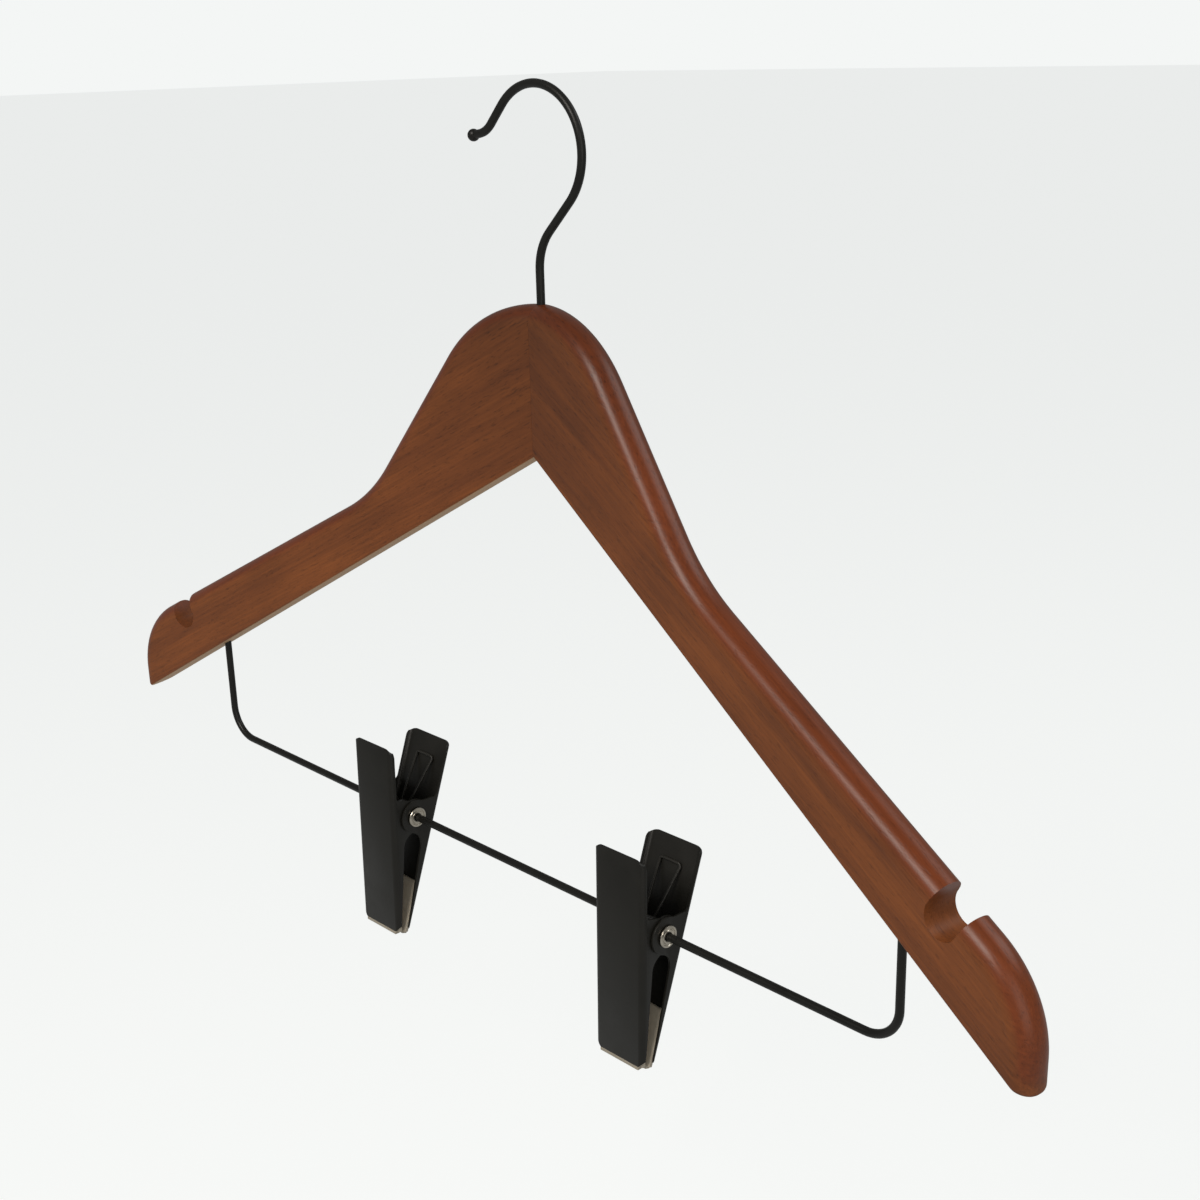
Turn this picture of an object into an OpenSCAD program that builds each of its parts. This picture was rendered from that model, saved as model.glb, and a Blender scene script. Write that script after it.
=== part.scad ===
// Contoured wooden suit hanger with a swivel hook and two sliding trouser clips.
// Millimetres, +Z up, +X along the arms. The origin is the underside of the hook's crest,
// where the rail carries the hanger. The arms sweep forward, towards -Y.

/* [Arms] */
// Width over both arm tips
overall_w = 446.5; // [380:0.5:520]
// How far the tips stand forward of the crown
tip_sweep = 36.8; // [10:0.1:50]
// Drop from the inner apex to the underside at the tips
tip_drop = 133.7; // [105:0.1:160]
// Thickness of the boards
board_t = 12.4; // [10:0.1:16]
// Height of the crown above the inner apex
crown_h = 50.9; // [42:0.1:62]
// Radius of the crown's top
crown_r = 50.5; // [44:0.5:56]
// Slope of the crown's flanks in degrees
flank_angle = 52.9; // [46:0.1:59]
// Straight length of each flank
flank_len = 55.4; // [48:0.1:66]
// Radius of the hollow between crown and arm
neck_r = 68.4; // [56:0.1:90]
// Slope of the arms' top edge in degrees
arm_angle = 28.3; // [24:0.1:30]
// Radius of the shoulder at each tip
shoulder_r = 34.5; // [20:0.5:38]
// Radius of the rounded top edge
edge_r = 5.8; // [4:0.1:7]
// Angle at which the round meets each flat face, which leaves a crisp line
edge_start = 12; // [5:1:20]
// Reach of the tongue that joins the two arms
tongue_reach = 5; // [4:0.5:8]
// Thickness of that tongue
tongue_t = 4.4; // [3.4:0.1:5]
// Wood left above and below the tongue
tongue_cover = 9; // [7:0.5:12]

/* [Strap notches] */
// Radius of each notch
notch_r = 6; // [4:0.1:7.2]
// Depth of each notch below the top edge
notch_depth = 12.4; // [9:0.1:14]
// Distance from the tip to the notch's centre
notch_from_tip = 32.0; // [22:0.1:36]

/* [Hook] */
// Diameter of the hook's wire
hook_d = 2.9; // [2.4:0.1:4]
// Radius of the hook's ring, at the wire's centre
ring_r = 21.5; // [17:0.1:27]
// Turn of the wire from the stem into the ring, in degrees
lead_angle = 45; // [38:1:55]
// Radius of the bend above the stem
lead_bend_r = 18; // [12:0.5:22]
// Angle round the ring where the tail leaves it
tail_start = 137; // [125:1:150]
// Straight length of the tail
tail_len = 8.5; // [5:0.1:12]
// Radius of the outward bend near the tip
tip_bend_r = 10; // [7:0.5:14]
// Turn of that bend in degrees
tip_turn = 37; // [25:1:50]
// Length from that bend to the ball's centre
tip_len = 3.5; // [2.5:0.1:5]
// Diameter of the ball tip
ball_d = 4.2; // [3.8:0.1:6]
// Drop from the ring's centre to the crown's top
crown_drop = 49.1; // [46:0.1:60]
// Depth of the stem inside the crown
stem_seat = 28; // [20:0.5:33]
// Running clearance of the stem in its bore
stem_clear = 0.05; // [0.03:0.01:0.1]
// Diameter of the head that keeps the hook in the crown
head_d = 5.4; // [4.8:0.1:5.8]
// Thickness of that head
head_t = 2.2; // [1.5:0.1:3]
// Thickness of the washer above the head
washer_t = 0.8; // [0.5:0.1:1.2]

/* [Clip bar] */
// Diameter of the bar's wire
bar_d = 2.8; // [2.4:0.1:3.4]
// Distance from the middle to each leg
leg_x = 172.7; // [160:0.1:190]
// Drop from the inner apex to the bar
bar_drop = 144.5; // [130:0.1:170]
// Bend radius of the bar's corners, at the wire's centre
bar_bend_r = 12; // [8:0.5:16]
// Depth of each leg in its arm
leg_seat = 12; // [8:0.5:14]
// Clearance of the legs in their holes
leg_clear = 0.02; // [0.01:0.01:0.05]

/* [Clips] */
// Place of the left clip along the bar
left_clip_x = -62; // [-120:0.5:-30]
// Place of the right clip along the bar
right_clip_x = 68.5; // [30:0.5:120]
// Lean of the hanging clips in degrees, jaws forward
clip_lean = 10.5; // [0:0.5:15]
// Half of the angle between the two plates
jaw_half_angle = 9.3; // [8:0.1:11]
// Width over the outer flanges
clip_w = 24.8; // [20:0.1:32]
// Thickness of the pressed sheet
sheet_t = 0.8; // [0.6:0.05:1]
// Length of the plates above the pivot
handle_len = 29.5; // [24:0.1:36]
// Length of the plates below the pivot
jaw_len = 46.5; // [38:0.1:56]
// Gap between an inner and an outer ear
ear_gap = 0.3; // [0.3:0.05:0.5]
// Radius of the ears round the pivot
ear_r = 6.6; // [5.6:0.1:7.5]
// Height of the flange's top edge above the pivot
flange_top = 8; // [7.6:0.1:10]
// Depth of the side lips along the handles
lip_depth = 2; // [1.4:0.1:2.6]
// Depth of the flanges just below the eye
strip_depth = 4.4; // [3:0.1:5]
// Cut of the plates' corners
corner_cut = 2.4; // [1.5:0.1:3]

/* [Pads] */
// Thickness of each pad
pad_t = 1.3; // [1:0.1:1.6]
// Height of each pad above the plates' lower edge
pad_h = 20; // [14:0.5:24]
// How far the pads' lip hangs below the plates
pad_lip = 1.3; // [0.8:0.1:2]
// Gap between the two pads at the mouth
mouth_gap = 0.3; // [0.3:0.05:0.6]

/* [Rivets and springs] */
// Outer radius of the rivet's barrel
barrel_r = 2.3; // [2:0.05:2.6]
// Running clearance of the rivet on the bar
bar_clear = 0.08; // [0.03:0.01:0.1]
// Running clearance of the jaws on the rivet
pivot_clear = 0.05; // [0.03:0.01:0.1]
// Radius of the rivet's rolled flanges
flange_r = 3.85; // [3.4:0.05:4.6]
// Thickness of the rolled flanges
flange_t = 0.8; // [0.6:0.05:1]
// Diameter of the spring wire
spring_d = 1.1; // [0.8:0.05:1.3]
// Gap between the barrel and the spring's coils
coil_gap = 0.6; // [0.4:0.05:0.8]
// Width of each coil
coil_w = 5; // [3.5:0.1:5.5]
// Half of the width of the spring's bridge
bridge_half = 4.6; // [3:0.1:5]
// Height of the bridge above the pivot
bridge_z = 20; // [15:0.5:22]
// Height of the spring's free ends above the pivot
leg_z = 17; // [12:0.5:20]
// Gap between the spring's legs and the plates
leg_gap = 0.1; // [0.05:0.05:0.3]

/* [Hidden] */
$fn = 96;
// Steps along each arc of the board, and round its top edge
arc_steps = 12;
edge_steps = 4;
// Radius of the rounded edge, kept inside half of the board
round_r = min(edge_r, board_t / 2 - 0.2);
// How far cutting tools run past a surface
over = 1;
// How far a bend's ends lie inside the straight lengths, and how much thinner it is
bend_overlap = 0.4;
bend_thin = 0.02;

// Levels, down from the rail seat
ring_z = -(ring_r - hook_d / 2);
crown_z = ring_z - crown_drop;
apex_z = crown_z - crown_h;
bar_z = apex_z - bar_drop;

// Plan of the arms
sweep_angle = atan2(tip_sweep, overall_w / 2);
tip_s = overall_w / 2 / cos(sweep_angle);
bar_y = -leg_x * tan(sweep_angle);
under_slope = tip_drop / tip_s;

// The board's outline, from the crown's top to the tip
crown_c = [0, crown_h - crown_r];
flank_start = crown_c + crown_r * [sin(flank_angle), cos(flank_angle)];
flank_end = flank_start + flank_len * [cos(flank_angle), -sin(flank_angle)];
neck_c = flank_end + neck_r * [sin(flank_angle), cos(flank_angle)];
neck_end = neck_c - neck_r * [sin(arm_angle), cos(arm_angle)];
shoulder_x = tip_s - shoulder_r;
// Height of the arm's top edge at a place along it
function top_z(s) = neck_end.y - (s - neck_end.x) * tan(arm_angle);
shoulder_c = [shoulder_x, top_z(shoulder_x) - shoulder_r / cos(arm_angle)];
notch_s = tip_s - notch_from_tip;
notch_z = top_z(notch_s) - (notch_depth - notch_r) / cos(arm_angle);

// Hook
stem_top = ring_z - ring_r * sin(lead_angle) - lead_bend_r * sin(lead_angle)
    - (ring_r * cos(lead_angle) - lead_bend_r * (1 - cos(lead_angle))) / tan(lead_angle);
lead_end = [lead_bend_r * (1 - cos(lead_angle)), stem_top + lead_bend_r * sin(lead_angle)];
ring_start = [ring_r * cos(lead_angle), ring_z - ring_r * sin(lead_angle)];
tail_from = [ring_r * cos(tail_start), ring_z + ring_r * sin(tail_start)];
tail_to = tail_from + tail_len * [-sin(tail_start), cos(tail_start)];
tip_bend_c = tail_to + tip_bend_r * [cos(tail_start), sin(tail_start)];
tip_from = tip_bend_c - tip_bend_r * [cos(tail_start - tip_turn), sin(tail_start - tip_turn)];
ball_c = tip_from + tip_len * [-sin(tail_start - tip_turn), cos(tail_start - tip_turn)];
head_z = crown_z - stem_seat;
chamber_r = head_d / 2 + 0.35;
chamber_z = head_z - 0.35;
chamber_top = head_z + head_t + 0.3 + washer_t;

// Clips: the pivot is the bar's axis
plate_y = sheet_t + pad_t
    + ((jaw_len + pad_lip) * sin(jaw_half_angle) + mouth_gap / 2) / cos(jaw_half_angle);
outer_x = clip_w / 2;
inner_x = outer_x - sheet_t - ear_gap;
jaw_bore_r = barrel_r + pivot_clear;
rivet_x = outer_x + ear_gap;
coil_r = barrel_r + coil_gap;
coil_x = coil_w + 1.5;
// Distance from the clip's middle plane to a plate's inner face, at a height above the pivot
function inner_y(z) = (plate_y - sheet_t) / cos(jaw_half_angle) + z * tan(jaw_half_angle);

// Points on an arc about c, from angle a to angle b, counted from straight up towards +X
function arc(c, r, a, b) =
    [for (i = [0:arc_steps]) let (t = a + (b - a) * i / arc_steps) c + r * [sin(t), cos(t)]];

// A straight wire in the XZ plane
module wire_line(from, to, r) {
    step = to - from;
    translate([from.x, 0, from.y])
        rotate([0, atan2(step.x, step.y), 0])
            cylinder(h = norm(step), r = r);
}

// A bent wire in the XZ plane, about c, from angle a to angle b, counted from +X towards +Z.
// It is a hair thinner than the straight lengths, and its ends lie inside them.
module wire_arc(c, bend_r, a, b, r) {
    extra = bend_overlap / bend_r * 180 / PI;
    translate([c.x, 0, c.y])
        rotate([90, 0, 0])
            rotate([0, 0, a - extra])
                rotate_extrude(angle = b - a + 2 * extra)
                    translate([bend_r, 0])
                        circle(r = r - bend_thin);
}

// The board's outline at a level across its thickness, with its top edge and end moved in by an
// inset. The underside stays, and the middle follows the mitre.
function outline(level, inset) =
    let (
        mitre_x = -level * tan(sweep_angle),
        top = concat(
            arc(crown_c, crown_r - inset, asin(mitre_x / (crown_r - inset)), flank_angle),
            arc(neck_c, -(neck_r + inset), flank_angle, arm_angle),
            arc(shoulder_c, shoulder_r - inset, arm_angle, 90)
        ),
        tip_x = tip_s - inset
    )
    concat(top, [[tip_x, -under_slope * tip_x], [mitre_x, -under_slope * mitre_x]]);

// One board in its own plane, before the joint and the holes: x along the arm, z from the inner
// apex. It is a stack of outlines whose insets follow the rounded top edge.
module board() {
    half_t = board_t / 2;
    round_y = half_t - round_r;
    turns = [for (i = [0:edge_steps]) edge_start + (90 - edge_start) * i / edge_steps];
    front = concat([[-half_t, round_r]], [for (a = turns) [-round_y - round_r * cos(a), round_r * (1 - sin(a))]]);
    count = len(front);
    levels = concat(front, [for (i = [1:count]) [-front[count - i].x, front[count - i].y]]);
    ring = len(outline(0, 0));
    last = len(levels) - 1;
    points = [for (level = levels) for (p = outline(level.x, level.y)) [p.x, level.x, p.y]];
    sides = [
        for (k = [0:last - 1])
            for (i = [0:ring - 1])
                let (a = k * ring + i, b = k * ring + (i + 1) % ring)
                each [[a, a + ring, b + ring], [a, b + ring, b]]
    ];
    caps = [[for (i = [0:ring - 1]) i], [for (i = [ring - 1:-1:0]) last * ring + i]];
    polyhedron(points, concat(caps, sides));
}

// A strap notch across the board: a round bottom whose mouth opens square to the top edge
module strap_notch() {
    translate([notch_s, 0, notch_z])
        rotate([90, 0, 0])
            rotate([0, 0, -arm_angle])
                linear_extrude(board_t + 2 * over, center = true)
                    polygon(concat(
                        arc([0, 0], notch_r, 90, 270),
                        [[-notch_r, notch_depth], [notch_r, notch_depth]]
                    ));
}

// The right arm's board, swept forward, notched and drilled for the bar's leg
module placed_board() {
    difference() {
        translate([0, 0, apex_z])
            rotate([0, 0, -sweep_angle])
                difference() {
                    board();
                    strap_notch();
                }
        translate([leg_x, bar_y, bar_z])
            cylinder(h = leg_top() - bar_z, r = bar_d / 2 + leg_clear);
    }
}

// Height of the top of the bar's legs
function leg_top() = apex_z - under_slope * leg_x / cos(sweep_angle) + leg_seat;

// The blind tongue on the left arm, which fills the slot in the right arm
module tongue_block() {
    translate([-over, -tongue_t / 2, apex_z + tongue_cover])
        cube([tongue_reach + over, tongue_t, crown_h - 2 * tongue_cover]);
}

// The stem's bore and the chamber for the hook's head, shared by both arms
module stem_holes() {
    translate([0, 0, chamber_top - over])
        cylinder(h = crown_z - chamber_top + 2 * over, r = hook_d / 2 + stem_clear);
    translate([0, 0, chamber_z])
        cylinder(h = chamber_top - chamber_z, r = chamber_r);
}

module left_arm() {
    color("#6b3f28")
        difference() {
            union() {
                mirror([1, 0, 0])
                    placed_board();
                tongue_block();
            }
            stem_holes();
        }
}

module right_arm() {
    color("#6b3f28")
        difference() {
            placed_board();
            tongue_block();
            stem_holes();
        }
}

module hook() {
    wire_r = hook_d / 2;
    color("#23221f") {
        wire_line([0, head_z], [0, stem_top], wire_r);
        wire_arc([lead_bend_r, stem_top], lead_bend_r, 180 - lead_angle, 180, wire_r);
        wire_line(lead_end, ring_start, wire_r);
        wire_arc([0, ring_z], ring_r, -lead_angle, tail_start, wire_r);
        wire_line(tail_from, tail_to, wire_r);
        wire_arc(tip_bend_c, tip_bend_r, tail_start + 180 - tip_turn, tail_start + 180, wire_r);
        wire_line(tip_from, ball_c, wire_r);
        translate([ball_c.x, 0, ball_c.y])
            sphere(d = ball_d);
        translate([0, 0, head_z])
            cylinder(h = head_t, d = head_d);
    }
}

module hook_washer() {
    color("#b9b6ad")
        translate([0, 0, chamber_top - washer_t])
            difference() {
                cylinder(h = washer_t, r = chamber_r - 0.02);
                translate([0, 0, -over])
                    cylinder(h = washer_t + 2 * over, r = hook_d / 2 + stem_clear);
            }
}

module clip_bar() {
    wire_r = bar_d / 2;
    corner_x = leg_x - bar_bend_r;
    corner_z = bar_z + bar_bend_r;
    color("#23221f")
        translate([0, bar_y, 0]) {
            wire_line([-corner_x, bar_z], [corner_x, bar_z], wire_r);
            wire_arc([corner_x, corner_z], bar_bend_r, -90, 0, wire_r);
            wire_arc([-corner_x, corner_z], bar_bend_r, 180, 270, wire_r);
            wire_line([leg_x, corner_z], [leg_x, leg_top()], wire_r);
            wire_line([-leg_x, corner_z], [-leg_x, leg_top()], wire_r);
        }
}

// Puts a clip's piece on the bar
module on_bar(x) {
    translate([x, bar_y, bar_z])
        rotate([-clip_lean, 0, 0])
            children();
}

module rivet(x) {
    color("#b9b6ad")
        on_bar(x)
            rotate([0, 90, 0])
                difference() {
                    union() {
                        cylinder(h = 2 * rivet_x, r = barrel_r, center = true);
                        for (side = [-1, 1])
                            translate([0, 0, side * (rivet_x + flange_t / 2)])
                                cylinder(h = flange_t, r = flange_r, center = true);
                    }
                    cylinder(h = 2 * (rivet_x + flange_t + over), r = bar_d / 2 + bar_clear, center = true);
                }
}

// One pressed jaw as the front one stands: its plate on -Y, its pivot at the origin.
// face_x is where the outer faces of its two flanges lie.
module jaw(face_x) {
    plate = [
        [-face_x, handle_len - corner_cut], [-face_x + corner_cut, handle_len],
        [face_x - corner_cut, handle_len], [face_x, handle_len - corner_cut],
        [face_x, corner_cut - jaw_len], [face_x - corner_cut, -jaw_len],
        [corner_cut - face_x, -jaw_len], [-face_x, corner_cut - jaw_len]
    ];
    mouth_depth = sheet_t + pad_t / 2;
    flange = [
        [-plate_y, flange_top], [0, ear_r], [0, -ear_r],
        [strip_depth - plate_y, -ear_r - strip_depth],
        [mouth_depth - plate_y, corner_cut - jaw_len], [-plate_y, corner_cut - jaw_len]
    ];
    lip = [
        [-plate_y, handle_len - corner_cut], [lip_depth - plate_y, handle_len - corner_cut - lip_depth],
        [lip_depth - plate_y, flange_top - over], [-plate_y, flange_top - over]
    ];
    rotate([jaw_half_angle, 0, 0])
        difference() {
            union() {
                translate([0, sheet_t - plate_y, 0])
                    rotate([90, 0, 0])
                        linear_extrude(sheet_t)
                            polygon(plate);
                for (side = [-1, 1])
                    translate([side * (face_x - sheet_t / 2), 0, 0])
                        rotate([90, 0, 90]) {
                            linear_extrude(sheet_t, center = true)
                                polygon(flange);
                            linear_extrude(sheet_t, center = true)
                                polygon(lip);
                            cylinder(h = sheet_t, r = ear_r, center = true);
                        }
            }
            rotate([0, 90, 0])
                cylinder(h = clip_w + 2 * over, r = jaw_bore_r, center = true);
        }
}

// A pad as the front one stands, between flanges whose inner faces are at room_x
module pad(room_x) {
    pad_x = room_x - 0.1;
    lip_x = room_x + sheet_t - corner_cut;
    rotate([jaw_half_angle, 0, 0]) {
        translate([-pad_x, sheet_t - plate_y, -jaw_len])
            cube([2 * pad_x, pad_t, pad_h]);
        translate([-lip_x, -plate_y, -jaw_len - pad_lip])
            cube([2 * lip_x, sheet_t + pad_t, pad_lip]);
    }
}

module front_jaw(x) {
    color("#2d2b26")
        on_bar(x)
            jaw(inner_x);
}

module back_jaw(x) {
    color("#2d2b26")
        on_bar(x)
            mirror([0, 1, 0])
                jaw(outer_x);
}

module front_pad(x) {
    color("#8f8577")
        on_bar(x)
            pad(inner_x - sheet_t);
}

module back_pad(x) {
    color("#8f8577")
        on_bar(x)
            mirror([0, 1, 0])
                pad(outer_x - sheet_t);
}

// Double torsion spring: two coils, a bridge on the back plate, two ends on the front plate
module spring(x) {
    wire_r = spring_d / 2;
    leg_r = wire_r - bend_thin;
    mid_r = coil_r + wire_r;
    bridge_y = inner_y(bridge_z) - wire_r - leg_gap;
    end_y = -(inner_y(leg_z) - wire_r - leg_gap);
    color("#3a3833")
        on_bar(x) {
            for (side = [-1, 1]) {
                translate([side * (coil_x - coil_w / 2), 0, 0])
                    rotate([0, 90, 0])
                        difference() {
                            cylinder(h = coil_w, r = coil_r + spring_d, center = true);
                            cylinder(h = coil_w + 2 * over, r = coil_r, center = true);
                        }
                translate([side * bridge_half, 0, 0])
                    spring_leg([mid_r, 0], [bridge_y, bridge_z], leg_r);
                translate([side * (coil_x - wire_r), 0, 0])
                    spring_leg([-mid_r, 0], [end_y, leg_z], leg_r);
            }
            translate([0, bridge_y, bridge_z])
                rotate([0, 90, 0])
                    cylinder(h = 2 * bridge_half + spring_d, r = wire_r, center = true);
        }
}

// A straight spring wire in the YZ plane
module spring_leg(from, to, r) {
    step = to - from;
    translate([0, from.x, from.y])
        rotate([-atan2(step.x, step.y), 0, 0])
            cylinder(h = norm(step), r = r);
}

module left_rivet() { rivet(left_clip_x); }
module left_back_jaw() { back_jaw(left_clip_x); }
module left_front_jaw() { front_jaw(left_clip_x); }
module left_spring() { spring(left_clip_x); }
module left_back_pad() { back_pad(left_clip_x); }
module left_front_pad() { front_pad(left_clip_x); }
module right_rivet() { rivet(right_clip_x); }
module right_back_jaw() { back_jaw(right_clip_x); }
module right_front_jaw() { front_jaw(right_clip_x); }
module right_spring() { spring(right_clip_x); }
module right_back_pad() { back_pad(right_clip_x); }
module right_front_pad() { front_pad(right_clip_x); }

left_arm();
right_arm();
hook();
hook_washer();
clip_bar();
left_rivet();
left_back_jaw();
left_front_jaw();
left_spring();
left_back_pad();
left_front_pad();
right_rivet();
right_back_jaw();
right_front_jaw();
right_spring();
right_back_pad();
right_front_pad();
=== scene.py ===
"""Looks of a contoured wooden suit hanger: two stained boards, a swivel wire hook, a wire bar and
two sprung trouser clips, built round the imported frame. Lengths are metres, +Z up, arms along X."""

import math

import bmesh
import bpy
from bpy.props import FloatProperty, FloatVectorProperty, PointerProperty
from mathutils import Matrix, Vector


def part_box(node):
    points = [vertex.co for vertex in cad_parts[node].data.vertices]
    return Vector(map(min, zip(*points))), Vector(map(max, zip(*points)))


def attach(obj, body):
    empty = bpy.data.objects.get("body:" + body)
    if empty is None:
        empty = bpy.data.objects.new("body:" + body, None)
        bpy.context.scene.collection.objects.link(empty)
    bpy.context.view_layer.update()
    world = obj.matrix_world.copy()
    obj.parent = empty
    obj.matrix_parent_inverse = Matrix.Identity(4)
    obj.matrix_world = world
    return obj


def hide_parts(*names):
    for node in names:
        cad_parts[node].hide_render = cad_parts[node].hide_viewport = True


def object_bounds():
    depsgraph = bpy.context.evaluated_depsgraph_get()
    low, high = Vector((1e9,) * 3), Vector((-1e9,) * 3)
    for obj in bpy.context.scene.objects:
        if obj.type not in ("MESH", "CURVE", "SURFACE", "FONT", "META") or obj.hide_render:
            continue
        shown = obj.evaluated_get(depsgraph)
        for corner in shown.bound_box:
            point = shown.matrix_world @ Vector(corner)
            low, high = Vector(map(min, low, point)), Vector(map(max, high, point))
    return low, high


bl_info = {
    "name": "Suit Hanger",
    "version": (1, 0, 0),
    "blender": (4, 5, 0),
    "location": "3D View > Sidebar > Hanger",
    "description": "Builds a wooden suit hanger with sliding trouser clips round its CAD frame",
    "category": "Object",
}

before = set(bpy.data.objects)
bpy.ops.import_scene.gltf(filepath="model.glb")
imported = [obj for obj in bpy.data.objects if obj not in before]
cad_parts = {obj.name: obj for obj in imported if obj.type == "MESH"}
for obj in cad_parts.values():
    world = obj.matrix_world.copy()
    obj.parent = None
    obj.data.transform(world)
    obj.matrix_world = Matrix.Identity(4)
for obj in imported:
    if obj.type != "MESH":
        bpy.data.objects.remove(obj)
CAD_LOW, CAD_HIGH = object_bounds()
BAR_LOW, BAR_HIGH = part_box("clip_bar")
CROWN_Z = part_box("right_arm")[1].z
HALF_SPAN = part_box("right_arm")[1].x

# Room round the bar's legs and round the hook's stem, in the boards
LEG_ROOM, STEM_ROOM = 0.00003, 0.0001
# Height of the stem's upset head, room round it in the crown, and height of its chamber there
HEAD_HEIGHT, HEAD_ROOM, CHAMBER_HEIGHT = 0.0022, 0.00035, 0.0037
# Room between the bar and a rivet, and between a rivet and the jaws
BAR_ROOM, PIVOT_ROOM = 0.00008, 0.00005
# Radius of the tip's lower corner at the faces, and the most that a board stands back from the mitre
FACE_CORNER, SEAM_EASE = 0.0006, 0.00003
# Size of the grit in the wires' black coating
WIRE_GRIT = 0.0006


def linear(colour):
    """Linear red, green and blue of an sRGB hex colour."""
    parts = [int(colour[i:i + 2], 16) / 255 for i in (1, 3, 5)]
    return tuple(c / 12.92 if c <= 0.04045 else ((c + 0.055) / 1.055) ** 2.4 for c in parts)


def size(name, description, default):
    """A length that the sidebar shows in the scene's units."""
    return FloatProperty(name=name, description=description, default=default, unit="LENGTH",
                         precision=4)


def angle(name, description, degrees):
    """An angle that the sidebar shows in degrees."""
    return FloatProperty(name=name, description=description, default=math.radians(degrees),
                         unit="ROTATION")


def power(name, watts):
    """The power of a lamp."""
    return FloatProperty(name=name, description="Power of the " + name.lower(), default=watts, unit="POWER")


def tint(name, description, colour):
    """A colour that the sidebar shows as a swatch."""
    return FloatVectorProperty(name=name, description=description, subtype="COLOR", min=0, max=1,
                               default=linear(colour))


class BoardSettings(bpy.types.PropertyGroup):
    """The two wooden arms."""
    thickness: size("Thickness", "Thickness of the boards", 0.0124)
    crown_height: size("Crown height", "Height of the crown above the inner apex", 0.0509)
    crown_radius: size("Crown radius", "Radius of the crown's top", 0.0505)
    flank_angle: angle("Flank slope", "Slope of the crown's flanks", 52.9)
    flank_length: size("Flank length", "Straight length of each flank", 0.0554)
    neck_radius: size("Neck radius", "Radius of the hollow between crown and arm", 0.0684)
    arm_angle: angle("Arm slope", "Slope of the arms' top edge", 28.3)
    shoulder_radius: size("Shoulder radius", "Radius of the shoulder at each tip", 0.0345)
    corner_radius: size("Corner radius", "Radius of the tip's lower corner", 0.0015)
    tip_drop: size("Tip drop", "Drop from the inner apex to the underside at the tips", 0.1337)
    tip_sweep: size("Tip sweep", "How far the tips stand forward of the crown", 0.0368)
    round_radius: size("Round-over", "Radius of the routed top edge", 0.0058)
    crease: angle("Crease", "Angle at which the round-over meets the faces", 12)
    eased_edge: size("Eased edge", "Radius of the sanded lower edges", 0.0008)
    notch_radius: size("Notch radius", "Radius of the strap notches", 0.006)
    notch_depth: size("Notch depth", "Depth of the strap notches", 0.0124)
    notch_place: size("Notch place", "Distance from the tip to the notch's centre", 0.0320)
    stain: tint("Stain", "Colour of the stained faces", "#80471f")
    stain_dark: tint("Dark grain", "Colour of the darker growth bands", "#643519")
    # Pale beige painted on the faces that turn downwards
    underside_beige: tint("Underside", "Colour of the thinly stained undersides", "#b08d68")
    stain_round: tint("Round-over tone", "Warmer colour where the round-over is sanded", "#6f3517")


class WireSettings(bpy.types.PropertyGroup):
    """The hook and the clip bar."""
    hook_wire: size("Hook wire", "Diameter of the hook's wire", 0.0029)
    ring_radius: size("Ring radius", "Radius of the hook's ring at the wire's centre", 0.0215)
    lead_angle: angle("Lead", "Turn of the wire from the stem into the ring", 45)
    lead_radius: size("Lead radius", "Radius of the bend above the stem", 0.018)
    tail_start: angle("Tail start", "Angle round the ring where the tail leaves it", 137)
    tail_length: size("Tail length", "Straight length of the tail", 0.0085)
    tip_radius: size("Tip bend", "Radius of the outward bend near the tip", 0.010)
    tip_turn: angle("Tip turn", "Turn of the bend near the tip", 37)
    tip_length: size("Tip length", "Length from that bend to the ball", 0.0035)
    ball: size("Ball", "Diameter of the ball tip", 0.0042)
    stem_seat: size("Stem seat", "Depth of the stem inside the crown", 0.028)
    head: size("Head", "Diameter of the stem's upset head", 0.0054)
    bar_wire: size("Bar wire", "Diameter of the bar's wire", 0.0028)
    bar_corner: size("Bar corner", "Bend radius of the bar's corners", 0.012)
    colour: tint("Coating", "Colour of the satin black coating", "#0b0b08")


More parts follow.
